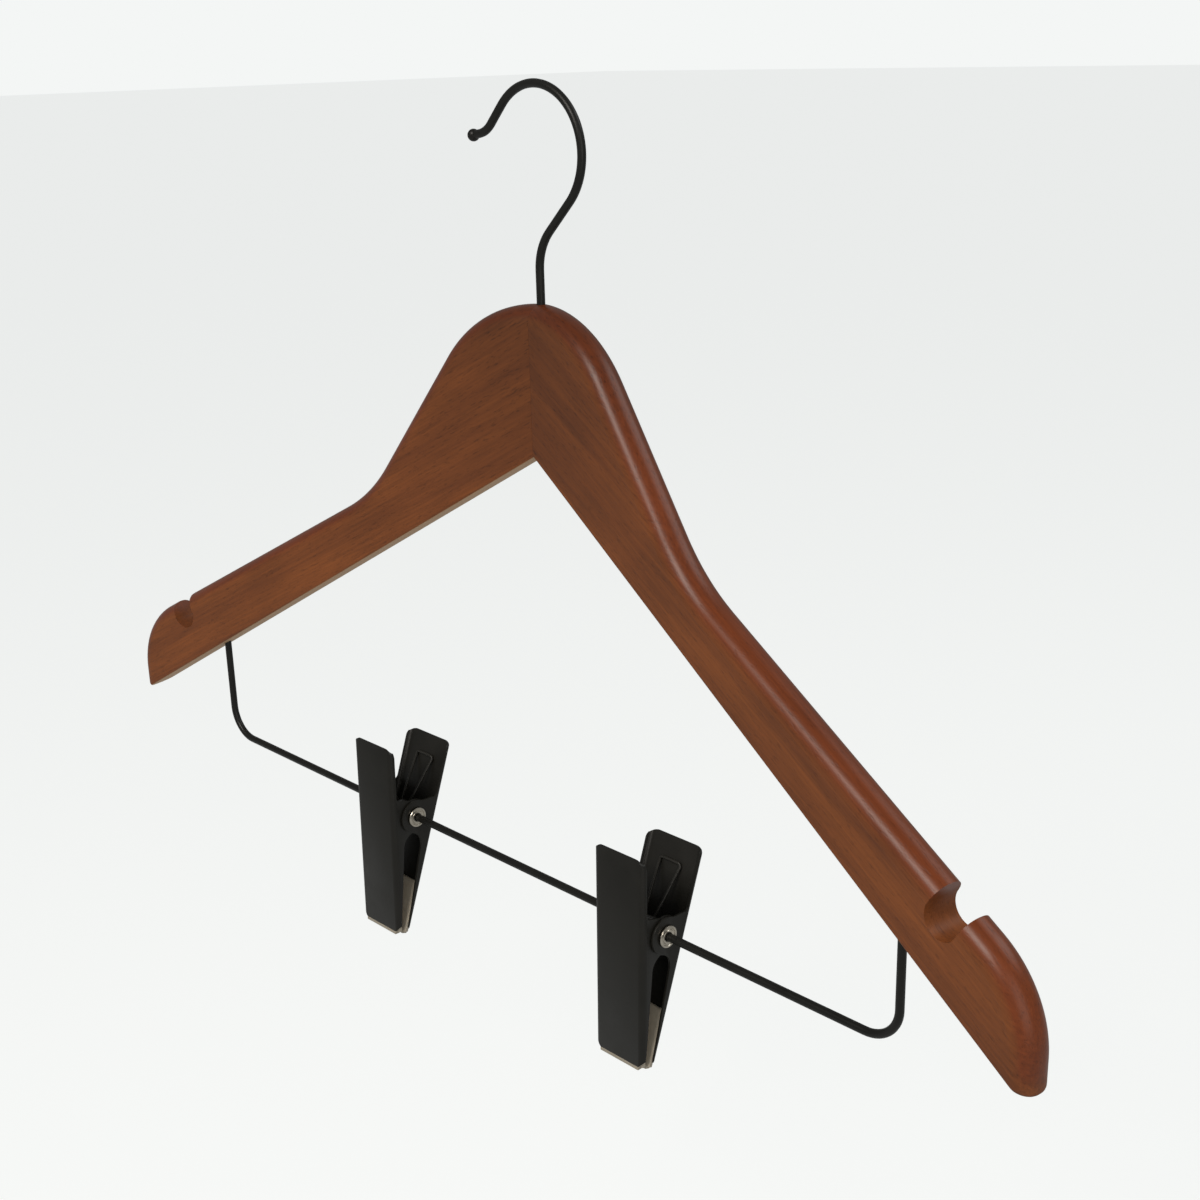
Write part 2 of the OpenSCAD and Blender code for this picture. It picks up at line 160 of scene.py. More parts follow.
class ClipSettings(bpy.types.PropertyGroup):
    """The two sprung trouser clips."""
    width: size("Width", "Width over the outer flanges", 0.0248)
    sheet: size("Sheet", "Thickness of the pressed sheet", 0.0008)
    ear_gap: size("Ear gap", "Gap between an inner and an outer ear", 0.0003)
    handle: size("Handle", "Length of the plates above the pivot", 0.0295)
    jaw: size("Jaw", "Length of the plates below the pivot", 0.0465)
    half_angle: angle("Half angle", "Half of the angle between the two plates", 9.3)
    lean: angle("Lean", "Lean of the hanging clips, jaws forward", 10.5)
    bend: size("Bend radius", "Outer radius of the sheet's bends", 0.0022)
    ear: size("Ear radius", "Radius of the ears round the pivot", 0.0066)
    flange_top: size("Flange top", "Height of the flange's top edge above the pivot", 0.008)
    lip: size("Lip depth", "Depth of the side lips along the handles", 0.002)
    strip: size("Strip depth", "Depth of the flanges below the eye", 0.0044)
    top_corner: size("Top corner", "Radius of the plates' upper corners", 0.004)
    corner: size("Corner cut", "Cut of the plates' lower corners", 0.0024)
    pad: size("Pad thickness", "Thickness of each pad", 0.0013)
    pad_height: size("Pad height", "Height of each pad above the plate's lower edge", 0.020)
    pad_lip: size("Pad lip", "How far the pad's lip hangs below the plate", 0.0013)
    mouth_gap: size("Mouth gap", "Gap between the two pads", 0.0003)
    barrel: size("Barrel", "Outer radius of the rivet's barrel", 0.0023)
    flange: size("Rivet flange", "Radius of the rivet's rolled flanges", 0.00385)
    flange_thickness: size("Flange thickness", "Thickness of the rolled flanges", 0.0008)
    spring_wire: size("Spring wire", "Diameter of the spring wire", 0.0011)
    coil_gap: size("Coil gap", "Gap between the barrel and the coils", 0.0006)
    coil_width: size("Coil width", "Width of each coil", 0.005)
    bridge_half: size("Bridge", "Half of the width of the spring's bridge", 0.0046)
    bridge_height: size("Bridge height", "Height of the bridge above the pivot", 0.020)
    leg_height: size("Leg height", "Height of the spring's free ends above the pivot", 0.017)
    colour: tint("Sheet coating", "Colour of the satin black sheet", "#100f0b")
    nickel: tint("Nickel", "Colour of the nickel plating", "#c9c2b4")
    vinyl: tint("Pads", "Colour of the vinyl pads", "#a69d8d")


class StageSettings(bpy.types.PropertyGroup):
    """The floor, the lights and the camera."""
    floor_drop: size("Floor drop", "Depth of the floor below the clips", 0.30)
    floor: tint("Floor", "Colour of the floor and the backdrop", "#f4f6f5")
    key_power: power("Key light", 17)
    fill_power: power("Fill light", 5)
    rim_power: power("Rim light", 6)


# ---------------------------------------------------------------------------------------------
# Materials


def add(tree, kind, inputs=None, **settings):
    """Adds a node, sets its settings, and sets or links its inputs."""
    made = tree.nodes.new(kind)
    for name, value in settings.items():
        setattr(made, name, value)
    for socket, value in (inputs or {}).items():
        if isinstance(value, bpy.types.NodeSocket):
            tree.links.new(value, made.inputs[socket])
        else:
            made.inputs[socket].default_value = value
    return made


def blank(name):
    """A material with only its shader, and that shader."""
    material = bpy.data.materials.get(name) or bpy.data.materials.new(name)
    material.use_nodes = True
    return material, material.node_tree, material.node_tree.nodes["Principled BSDF"]


def dress(tree, shader, colour, rough, bump):
    """Links a shader's colour, roughness and normal."""
    for socket, value in (("Base Color", colour), ("Roughness", rough), ("Normal", bump)):
        tree.links.new(value, shader.inputs[socket])


def stained_beech(name, turn, shift):
    """Beech, planed, routed and sanded, stained walnut brown and sprayed with satin lacquer: long soft
    growth bands, short dark flecks along the grain, and a warmer, smoother tone on the round-over."""
    look = bpy.context.scene.hanger_boards
    material, tree, shader = blank(name)
    spot = add(tree, "ShaderNodeTexCoord").outputs["Object"]
    arm = add(tree, "ShaderNodeMapping", {"Vector": spot, "Rotation": turn, "Location": shift},
              vector_type="TEXTURE").outputs[0]
    # Growth bands about 9 mm across and 120 mm long
    bands = add(tree, "ShaderNodeMapping", {"Vector": arm, "Scale": (8, 90, 110)}).outputs[0]
    band = add(tree, "ShaderNodeTexNoise", {"Vector": bands, "Scale": 1.0, "Detail": 4, "Roughness": 0.55,
                                            "Distortion": 0.6}).outputs["Fac"]
    # Grain lines 0.9 mm across and 25 mm long
    lines = add(tree, "ShaderNodeMapping", {"Vector": arm, "Scale": (40, 1100, 1100)}).outputs[0]
    line = add(tree, "ShaderNodeTexNoise", {"Vector": lines, "Scale": 1.0, "Detail": 3,
                                            "Roughness": 0.6}).outputs["Fac"]
    # Ray flecks 0.5 mm across and 3 mm long
    flecks = add(tree, "ShaderNodeMapping", {"Vector": arm, "Scale": (330, 1900, 1900)}).outputs[0]
    fleck = add(tree, "ShaderNodeTexNoise", {"Vector": flecks, "Scale": 1.0, "Detail": 1}).outputs["Fac"]
    fleck = add(tree, "ShaderNodeMapRange", {"Value": fleck, "From Min": 0.58, "From Max": 0.72}).outputs[0]
    # Stain clouds about 45 mm across
    cloud = add(tree, "ShaderNodeTexNoise", {"Vector": arm, "Scale": 22.0, "Detail": 2}).outputs["Fac"]
    cloud = add(tree, "ShaderNodeMapRange", {"Value": cloud, "From Min": 0.46, "From Max": 0.72}).outputs[0]
    band = add(tree, "ShaderNodeMapRange", {"Value": band, "From Min": 0.22, "From Max": 0.72}).outputs[0]
    face = add(tree, "ShaderNodeMix", {"Factor": band, "A": (*look.stain_dark, 1), "B": (*look.stain, 1)},
               data_type="RGBA").outputs["Result"]
    # The round-over takes a redder tone than the faces
    rise = add(tree, "ShaderNodeAttribute", attribute_name="round_over").outputs["Fac"]
    warm = add(tree, "ShaderNodeMapRange", {"Value": rise, "From Min": 0.05, "From Max": 0.7}).outputs[0]
    flat = add(tree, "ShaderNodeMapRange", {"Value": rise, "From Min": 0.1, "From Max": 0.0}).outputs[0]
    mixed = add(tree, "ShaderNodeMix", {"Factor": warm, "A": face, "B": (*look.stain_round, 1)},
                data_type="RGBA").outputs["Result"]
    grain = add(tree, "ShaderNodeMath", {0: line, 1: 0.8}, operation="MULTIPLY").outputs[0]
    grain = add(tree, "ShaderNodeMath", {0: grain, 1: 0.6}, operation="ADD").outputs[0]
    # The wood's colour is darkened round the crown: to two thirds of its tone within 20 mm of a point just
    # below its top, back to full by 85 mm
    away = add(tree, "ShaderNodeVectorMath", {0: spot, 1: (0, 0, CROWN_Z - 0.005)}, operation="DISTANCE")
    deep = add(tree, "ShaderNodeMapRange", {"Value": away.outputs["Value"], "From Min": 0.02,
                                            "From Max": 0.085, "To Min": 0.66, "To Max": 1.0}).outputs[0]
    grain = add(tree, "ShaderNodeMath", {0: grain, 1: deep}, operation="MULTIPLY").outputs[0]
    dark = add(tree, "ShaderNodeMath", {0: fleck, 1: -0.22, 2: grain}, operation="MULTIPLY_ADD").outputs[0]
    dark = add(tree, "ShaderNodeMath", {0: cloud, 1: -0.16, 2: dark}, operation="MULTIPLY_ADD").outputs[0]
    colour = add(tree, "ShaderNodeMix", {"Factor": 1.0, "A": mixed, "B": dark}, data_type="RGBA",
                 blend_type="MULTIPLY").outputs["Result"]
    # Faces that turn downwards, off the round-over, are painted a pale beige
    facing = add(tree, "ShaderNodeNewGeometry").outputs["Normal"]
    down = add(tree, "ShaderNodeSeparateXYZ", {"Vector": facing}).outputs["Z"]
    facing_down = add(tree, "ShaderNodeMapRange", {"Value": down, "From Min": -0.55, "From Max": -0.8}).outputs[0]
    facing_down = add(tree, "ShaderNodeMath", {0: flat, 1: facing_down}, operation="MULTIPLY").outputs[0]
    colour = add(tree, "ShaderNodeMix", {"Factor": facing_down, "A": colour, "B": (*look.underside_beige, 1)},
                 data_type="RGBA").outputs["Result"]
    rough = add(tree, "ShaderNodeMapRange", {"Value": warm, "To Min": 0.5, "To Max": 0.3}).outputs[0]
    rough = add(tree, "ShaderNodeMath", {0: line, 1: 0.10, 2: rough}, operation="MULTIPLY_ADD").outputs[0]
    relief = add(tree, "ShaderNodeMath", {0: line, 1: fleck}, operation="SUBTRACT").outputs[0]
    bump = add(tree, "ShaderNodeBump", {"Height": relief, "Strength": 0.35, "Distance": 0.00006}).outputs[0]
    dress(tree, shader, colour, rough, bump)
    shader.inputs["IOR"].default_value = 1.5
    shader.inputs["Specular IOR Level"].default_value = 0.27
    shader.inputs["Coat Weight"].default_value = 0.06
    shader.inputs["Coat Roughness"].default_value = 0.32
    return material


def satin_black(name, colour, grit, rough):
    """Steel, dipped in satin black lacquer and baked, or oiled and blackened as the springs are: a soft
    sheen, faint orange peel and a trace of brown. The peel is drawn at the grit's size, coarser than the
    real 0.2 mm."""
    material, tree, shader = blank(name)
    spot = add(tree, "ShaderNodeTexCoord").outputs["Object"]
    peel = add(tree, "ShaderNodeTexNoise", {"Vector": spot, "Scale": 1 / grit, "Detail": 2}).outputs["Fac"]
    haze = add(tree, "ShaderNodeTexNoise", {"Vector": spot, "Scale": 90.0, "Detail": 3}).outputs["Fac"]
    worn = tuple(min(1.0, c * 1.7 + 0.004) for c in colour)
    base = add(tree, "ShaderNodeMix", {"Factor": haze, "A": (*colour, 1), "B": (*worn, 1)},
               data_type="RGBA").outputs["Result"]
    sheen = add(tree, "ShaderNodeMapRange", {"Value": haze, "From Min": 0.3, "From Max": 0.7,
                                             "To Min": rough - 0.05, "To Max": rough + 0.06}).outputs[0]
    bump = add(tree, "ShaderNodeBump", {"Height": peel, "Strength": 0.25, "Distance": 0.00004}).outputs[0]
    dress(tree, shader, base, sheen, bump)
    shader.inputs["IOR"].default_value = 1.5
    shader.inputs["Specular IOR Level"].default_value = 0.27
    return material


def nickel_plate(name, colour):
    """Brass tube, rolled over and nickel plated: bright warm-white metal with fine turning lines round
    the bar, about 0.3 mm apart, and duller patches from handling."""
    material, tree, shader = blank(name)
    spot = add(tree, "ShaderNodeTexCoord").outputs["Object"]
    stretched = add(tree, "ShaderNodeMapping", {"Vector": spot, "Scale": (3300, 250, 250)}).outputs[0]
    turning = add(tree, "ShaderNodeTexNoise", {"Vector": stretched, "Scale": 1.0, "Detail": 2}).outputs["Fac"]
    patch = add(tree, "ShaderNodeTexNoise", {"Vector": spot, "Scale": 500.0, "Detail": 2}).outputs["Fac"]
    dull = tuple(c * 0.62 for c in colour)
    base = add(tree, "ShaderNodeMix", {"Factor": patch, "A": (*colour, 1), "B": (*dull, 1)},
               data_type="RGBA").outputs["Result"]
    rough = add(tree, "ShaderNodeMapRange", {"Value": patch, "To Min": 0.2, "To Max": 0.42}).outputs[0]
    bump = add(tree, "ShaderNodeBump", {"Height": turning, "Strength": 0.2, "Distance": 0.00003}).outputs[0]
    dress(tree, shader, base, rough, bump)
    shader.inputs["Metallic"].default_value = 1.0
    return material


def soft_vinyl(name, colour):
    """Soft PVC, moulded over the plate: taupe and slightly clouded, with the fine matt grain of the
    mould, drawn at 0.5 mm because the real 0.1 mm is too fine to show."""
    material, tree, shader = blank(name)
    spot = add(tree, "ShaderNodeTexCoord").outputs["Object"]
    cloud = add(tree, "ShaderNodeTexNoise", {"Vector": spot, "Scale": 160.0, "Detail": 3}).outputs["Fac"]
    grain = add(tree, "ShaderNodeTexNoise", {"Vector": spot, "Scale": 2000.0, "Detail": 1}).outputs["Fac"]
    dusk = tuple(c * 0.72 for c in colour)
    base = add(tree, "ShaderNodeMix", {"Factor": cloud, "A": (*colour, 1), "B": (*dusk, 1)},
               data_type="RGBA").outputs["Result"]
    rough = add(tree, "ShaderNodeMapRange", {"Value": cloud, "To Min": 0.36, "To Max": 0.56}).outputs[0]
    bump = add(tree, "ShaderNodeBump", {"Height": grain, "Strength": 0.3, "Distance": 0.00005}).outputs[0]
    dress(tree, shader, base, rough, bump)
    shader.inputs["IOR"].default_value = 1.53
    shader.inputs["Subsurface Weight"].default_value = 0.12
    shader.inputs["Subsurface Radius"].default_value = (0.002, 0.0016, 0.0012)
    return material


# ---------------------------------------------------------------------------------------------
# Modelling steps


def deselect():
    """Leaves nothing selected, so that an operator acts only on what is made next."""
    if bpy.context.object and bpy.context.object.mode != "OBJECT":
        bpy.ops.object.mode_set(mode="OBJECT")
    bpy.ops.object.select_all(action="DESELECT")


def take(piece):
    """Makes a piece the only one selected, and the active one."""
    deselect()
    piece.select_set(True)
    bpy.context.view_layer.objects.active = piece


def drawn_through(name, rings):
    """A solid drawn from a filled circle whose end is extruded from ring to ring. Each ring has the same
    number of points, in order round the outline."""
    deselect()
    bpy.ops.mesh.primitive_circle_add(vertices=len(rings[0]), fill_type="NGON")
    piece = bpy.context.object
    piece.name = name
    bpy.ops.object.mode_set(mode="EDIT")
    bpy.ops.mesh.select_all(action="SELECT")
    mesh = bmesh.from_edit_mesh(piece.data)
    order = mesh.verts.layers.int.new("order")
    mesh.verts.ensure_lookup_table()
    for i, v in enumerate(mesh.verts):
        v[order] = i
        v.co = rings[0][i]
    for ring in rings[1:]:
        bmesh.update_edit_mesh(piece.data)
        bpy.ops.mesh.extrude_region_move(TRANSFORM_OT_translate={"value": (0.001, 0, 0)})
        mesh = bmesh.from_edit_mesh(piece.data)
        order = mesh.verts.layers.int["order"]
        for v in mesh.verts:
            if v.select:
                v.co = ring[v[order]]
    bmesh.update_edit_mesh(piece.data)
    bpy.ops.mesh.select_all(action="SELECT")
    bpy.ops.mesh.normals_make_consistent(inside=False)
    bpy.ops.object.mode_set(mode="OBJECT")
    piece.data.attributes.remove(piece.data.attributes["order"])
    return piece


def prism(name, outline, low, high, along):
    """An outline of two coordinates drawn from low to high along X or Y."""
    if along == "X":
        rings = [[Vector((depth, a, b)) for a, b in outline] for depth in (low, high)]
    else:
        rings = [[Vector((a, depth, b)) for a, b in outline] for depth in (low, high)]
    return drawn_through(name, rings)


def apply(piece, kind, **settings):
    """Adds a modifier to a piece and applies it."""
    take(piece)
    modifier = piece.modifiers.new(kind.title(), kind)
    for name, value in settings.items():
        setattr(modifier, name, value)
    bpy.ops.object.modifier_apply(modifier=modifier.name)


def cut(piece, tool, operation="DIFFERENCE"):
    """Cuts a piece with a tool, or keeps what they share, and throws the tool away."""
    apply(piece, "BOOLEAN", object=tool, operation=operation, solver="EXACT")
    bpy.data.objects.remove(tool)


def rod(radius, length, place, turn=(0, 0, 0), sides=64):
    """A round cutting tool."""
    deselect()
    bpy.ops.mesh.primitive_cylinder_add(vertices=sides, radius=radius, depth=length, location=place,
                                        rotation=turn)
    return bpy.context.object


def set_down(piece, matrix, materials, degrees=30):
    """Puts a piece in its place in its mesh, smooths it up to an angle, and gives it its materials."""
    take(piece)
    piece.matrix_world = matrix @ piece.matrix_world
    bpy.context.view_layer.update()
    bpy.ops.object.transform_apply(location=True, rotation=True, scale=True)
    bpy.ops.object.shade_smooth_by_angle(angle=math.radians(degrees))
    piece.data.materials.clear()
    for material in materials:
        piece.data.materials.append(material)
    return piece


def drawn_wire(name, points, radius, sides=6):
    """A wire that follows points, made as a curve with a round section and turned into a mesh."""
    deselect()
    bpy.ops.curve.primitive_nurbs_path_add()
    piece = bpy.context.object
    piece.name = name
    curve = piece.data
    curve.splines.clear()
    line = curve.splines.new("POLY")
    line.points.add(len(points) - 1)
    for spot, point in zip(line.points, points):
        spot.co = (*point, 1)
    curve.dimensions = "3D"
    curve.bevel_depth = radius
    curve.bevel_resolution = sides
    curve.use_fill_caps = True
    bpy.ops.object.convert(target="MESH")
    piece = bpy.context.object
    bpy.ops.object.mode_set(mode="EDIT")
    bpy.ops.mesh.select_all(action="SELECT")
    bpy.ops.mesh.remove_doubles(threshold=1e-6)
    bpy.ops.mesh.normals_make_consistent(inside=False)
    bpy.ops.object.mode_set(mode="OBJECT")
    return piece


def joined(pieces):
    """Several pieces as one, under the first one's name."""
    take(pieces[0])
    for piece in pieces[1:]:
        piece.select_set(True)
    bpy.ops.object.join()
    return pieces[0]


def arc(centre, radius, start, end, steps):
    """Points on an arc, its angles counted from straight up towards +X."""
    turns = [start + (end - start) * i / steps for i in range(steps + 1)]
    return [centre + radius * Vector((math.sin(t), math.cos(t))) for t in turns]


def turned_arc(centre, radius, start, end, steps):
    """Points on an arc, its angles counted from +X towards +Z."""
    turns = [start + (end - start) * i / steps for i in range(steps + 1)]
    return [centre + radius * Vector((math.cos(t), math.sin(t))) for t in turns]


# ---------------------------------------------------------------------------------------------
# Boards


def board_sizes(board):
    """The board's derived sizes, in its own plane: x along the arm, z from the inner apex."""
    sweep = math.atan2(board.tip_sweep, HALF_SPAN)
    tip = HALF_SPAN / math.cos(sweep)
    crown = Vector((0, board.crown_height - board.crown_radius))
    flank = board.flank_angle
    out = Vector((math.sin(flank), math.cos(flank)))
    down = Vector((math.cos(flank), -math.sin(flank)))
    flank_end = crown + board.crown_radius * out + board.flank_length * down
    neck = flank_end + board.neck_radius * out
    neck_end = neck - board.neck_radius * Vector((math.sin(board.arm_angle), math.cos(board.arm_angle)))

    def top(x):
        return neck_end.y - (x - neck_end.x) * math.tan(board.arm_angle)

    shoulder_x = tip - board.shoulder_radius
    shoulder = Vector((shoulder_x, top(shoulder_x) - board.shoulder_radius / math.cos(board.arm_angle)))
    notch_x = tip - board.notch_place
    notch_z = top(notch_x) - (board.notch_depth - board.notch_radius) / math.cos(board.arm_angle)
    return {"sweep": sweep, "tip": tip, "slope": board.tip_drop / tip, "crown": crown, "neck": neck,
            "shoulder": shoulder, "notch": Vector((notch_x, notch_z))}


def board_outline(board, sizes, level, inset, ease):
    """The outline at a level across the board, its top edge and tip moved in by the inset and its
    underside by the ease. The middle follows the mitre."""
    slope = sizes["slope"]
    lean = math.atan(slope)
    seam = -level * math.tan(sizes["sweep"]) + min(ease, SEAM_EASE)
    crown_radius = board.crown_radius - inset
    tip = sizes["tip"] - inset
    rounding = FACE_CORNER + (board.corner_radius - FACE_CORNER) * (1 - inset / board.round_radius)
    corner = Vector((tip - rounding, 0))
    corner.y = -slope * corner.x + (rounding + ease) / math.cos(lean)
    points = arc(sizes["crown"], crown_radius, math.asin(seam / crown_radius), board.flank_angle, 22)
    points += arc(sizes["neck"], -(board.neck_radius + inset), board.flank_angle, board.arm_angle, 18)
    points += arc(sizes["shoulder"], board.shoulder_radius - inset, board.arm_angle, math.pi / 2, 22)
    points += arc(corner, rounding, math.pi / 2, math.pi + lean, 8)
    points.append(Vector((seam, -slope * seam + ease / math.cos(lean))))
    return points


def board_levels(board):
    """Levels across the board with the inset of its round-over and the ease of its lower edges."""
    half = board.thickness / 2
    flat = half - board.round_radius
    near = [(-half, board.round_radius)]
    steps = 12
    for i in range(steps + 1):
        t = board.crease + (math.pi / 2 - board.crease) * i / steps
        near.append((-flat - board.round_radius * math.cos(t), board.round_radius * (1 - math.sin(t))))
    levels = near + [(-level, inset) for level, inset in reversed(near)]
    made = []
    for level, inset in levels:
        left = max(0.0, board.eased_edge - (half - abs(level)))
        made.append((level, inset, board.eased_edge - math.sqrt(board.eased_edge ** 2 - left ** 2)))
    return made


def mark_round_over(piece, board, sizes, side):
    """Writes how far each point lies inside the round-over, which the wood's colour follows."""
    apex = CROWN_Z - board.crown_height
    turn = Matrix.Rotation(side * sizes["sweep"], 3, "Z")
    # The mark fades over this depth, and starts this far above the underside
    fade, clear = 0.0012, 0.006
    values = []
    for v in piece.data.vertices:
        spot = turn @ (v.co - Vector((0, 0, apex)))
        depth = board.thickness / 2 - abs(spot.y)
        above = spot.z + sizes["slope"] * abs(spot.x)
        values.append(min(1.0, max(0.0, depth / fade)) if above > clear else 0.0)
    layer = piece.data.attributes.new("round_over", "FLOAT", "POINT")
    layer.data.foreach_set("value", values)


def sharpen_faces(piece, sizes, side):
    """Marks the borders of the two flat faces sharp, so that they stay flat beside the round-over."""
    across = Matrix.Rotation(-side * sizes["sweep"], 3, "Z") @ Vector((0, 1, 0))
    take(piece)
    bpy.ops.object.mode_set(mode="EDIT")
    bpy.ops.mesh.select_mode(type="EDGE")
    bpy.ops.mesh.select_all(action="DESELECT")
    mesh = bmesh.from_edit_mesh(piece.data)
    for edge in mesh.edges:
        flat = [abs(face.normal.dot(across)) > 0.9995 for face in edge.link_faces]
        edge.select = len(flat) == 2 and flat[0] != flat[1]
    bmesh.update_edit_mesh(piece.data)
    bpy.ops.mesh.mark_sharp()
    bpy.ops.object.mode_set(mode="OBJECT")


def notch_mouth(board, notch, side):
    """The tool that opens a notch square to the board's top edge."""
    half, rise, reach = board.notch_radius - 0.00002, 0.02, 0.015
    up = Vector((math.sin(board.arm_angle), math.cos(board.arm_angle)))
    along = Vector((up.y, -up.x))
    corners = (notch - half * along, notch + half * along, notch + half * along + rise * up,
               notch - half * along + rise * up)
    return prism("notch_mouth", [(side * p.x, p.y) for p in corners], -reach, reach, "Y")


class HANGER_OT_boards(bpy.types.Operator):
    """Make the two wooden boards with their round-over, notches and bores"""
    bl_idname = "hanger.boards"
    bl_label = "Boards"

    def execute(self, context):
        board, wire = context.scene.hanger_boards, context.scene.hanger_wires
        sizes = board_sizes(board)
        apex = CROWN_Z - board.crown_height
        leg = BAR_HIGH.x - wire.bar_wire / 2
        bar_y = (BAR_LOW.y + BAR_HIGH.y) / 2
        through, stem_bore, over = 0.03, 0.027, 0.001
        for side, node in ((1, "right_arm"), (-1, "left_arm")):
            rings = []
            for level, inset, ease in board_levels(board):
                outline = board_outline(board, sizes, level, inset, ease)
                rings.append([Vector((side * p.x, level, p.y)) for p in outline])
            piece = drawn_through(node.replace("arm", "board"), rings)
            notch = sizes["notch"]
            cut(piece, rod(board.notch_radius, through, (side * notch.x, 0, notch.y),
                           (math.pi / 2, 0, 0), sides=96))
            cut(piece, notch_mouth(board, notch, side))
            place = Matrix.Translation((0, 0, apex)) @ Matrix.Rotation(-side * sizes["sweep"], 4, "Z")
            slope = math.atan(sizes["slope"])
            heading = -sizes["sweep"] if side > 0 else math.pi + sizes["sweep"]
            # Each board is cut from another stretch of the grain
            shift = (0, 0, apex) if side > 0 else (0.31, 0.17, apex)
            wood = stained_beech("stained_beech_" + node[:-4], (0, slope * 0.93, heading), shift)
            set_down(piece, place, [wood])
            cut(piece, rod(wire.bar_wire / 2 + LEG_ROOM, through,
                           (side * leg, bar_y, BAR_HIGH.z - through / 2)))
            cut(piece, rod(wire.hook_wire / 2 + STEM_ROOM, stem_bore, (0, 0, CROWN_Z + over - stem_bore / 2)))
            cut(piece, rod(wire.head / 2 + HEAD_ROOM, CHAMBER_HEIGHT,
                           (0, 0, CROWN_Z - wire.stem_seat + CHAMBER_HEIGHT / 2 - HEAD_ROOM)))
            mark_round_over(piece, board, sizes, side)
            take(piece)
            bpy.ops.object.shade_smooth_by_angle(angle=math.radians(30))
            sharpen_faces(piece, sizes, side)
            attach(piece, "hanger")
            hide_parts(node)
        return {"FINISHED"}


# ---------------------------------------------------------------------------------------------
# Wires


class HANGER_OT_hook(bpy.types.Operator):
    """Make the swivel hook with its ball tip, and finish its washer"""
    bl_idname = "hanger.hook"
    bl_label = "Hook"

    def execute(self, context):
        wire = context.scene.hanger_wires
        ring_z = -(wire.ring_radius - wire.hook_wire / 2)
        lead, ring = wire.lead_angle, wire.ring_radius
        stem_top = ring_z - (ring + wire.lead_radius) * math.sin(lead) - (
            ring * math.cos(lead) - wire.lead_radius * (1 - math.cos(lead))) / math.tan(lead)
        tail, turn = wire.tail_start, wire.tip_turn
        centre = Vector((0, ring_z))
        points = [Vector((0, CROWN_Z - wire.stem_seat)), Vector((0, CROWN_Z + 0.004))]
        lead_bend = Vector((wire.lead_radius, stem_top))
        points += turned_arc(lead_bend, wire.lead_radius, math.pi, math.pi - lead, 10)
        points += turned_arc(centre, ring, -lead, tail, 60)
        tail_end = points[-1] + wire.tail_length * Vector((-math.sin(tail), math.cos(tail)))
        bend = tail_end + wire.tip_radius * Vector((math.cos(tail), math.sin(tail)))
        points += turned_arc(bend, wire.tip_radius, tail + math.pi, tail + math.pi - turn, 10)
        points.append(points[-1] + wire.tip_length * Vector((-math.sin(tail - turn), math.cos(tail - turn))))
        path = [Vector((p.x, 0, p.y)) for p in points]
        piece = drawn_wire("hook_wire", path, wire.hook_wire / 2)
        deselect()
        bpy.ops.mesh.primitive_uv_sphere_add(segments=32, ring_count=20, radius=wire.ball / 2,
                                             location=path[-1])
        ball = bpy.context.object
        head = rod(wire.head / 2, HEAD_HEIGHT, (0, 0, CROWN_Z - wire.stem_seat + HEAD_HEIGHT / 2))
        apply(head, "BEVEL", width=0.0003, segments=2)
        piece = joined([piece, ball, head])
        black = satin_black("satin_black_wire", tuple(wire.colour), WIRE_GRIT, 0.38)
        set_down(piece, Matrix(), [black])
        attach(piece, "hook")
        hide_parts("hook")
        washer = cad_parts["hook_washer"]
        washer.data.materials.clear()
        washer.data.materials.append(nickel_plate("nickel_washer", tuple(context.scene.hanger_clips.nickel)))
        return {"FINISHED"}


class HANGER_OT_bar(bpy.types.Operator):
    """Make the clip bar with its two bent legs"""
    bl_idname = "hanger.bar"
    bl_label = "Clip bar"

    def execute(self, context):
        wire = context.scene.hanger_wires
        radius, bend = wire.bar_wire / 2, wire.bar_corner
        leg = BAR_HIGH.x - radius
        z = BAR_LOW.z + radius
        y = (BAR_LOW.y + BAR_HIGH.y) / 2
        points = [Vector((-leg, BAR_HIGH.z))]
        points += turned_arc(Vector((bend - leg, z + bend)), bend, math.pi, math.pi * 1.5, 14)
        points += turned_arc(Vector((leg - bend, z + bend)), bend, math.pi * 1.5, math.pi * 2, 14)
        points.append(Vector((leg, BAR_HIGH.z)))
        piece = drawn_wire("clip_bar_wire", [Vector((p.x, y, p.y)) for p in points], radius)
        black = satin_black("satin_black_bar", tuple(wire.colour), WIRE_GRIT, 0.36)
        set_down(piece, Matrix(), [black])
        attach(piece, "hanger")
        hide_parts("clip_bar")
        return {"FINISHED"}


# ---------------------------------------------------------------------------------------------
# Clips


def clip_place(side, clip, back, tilted=True):
    """The matrix that puts a clip piece, drawn as the front jaw stands at the origin, on the bar."""
    low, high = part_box(side + "_rivet")
    radius = bpy.context.scene.hanger_wires.bar_wire / 2
    pivot = Vector(((low.x + high.x) / 2, (BAR_LOW.y + BAR_HIGH.y) / 2, BAR_LOW.z + radius))
    turn = Matrix.Translation(pivot) @ Matrix.Rotation(-clip.lean, 4, "X")
    if back:
        turn = turn @ Matrix.Rotation(math.pi, 4, "Z")
    if tilted:
        turn = turn @ Matrix.Rotation(clip.half_angle, 4, "X")
    return turn


def plate_depth(clip):
    """Distance from the pivot to a plate's outer face."""
    reach = (clip.jaw + clip.pad_lip) * math.sin(clip.half_angle) + clip.mouth_gap / 2
    return clip.sheet + clip.pad + reach / math.cos(clip.half_angle)


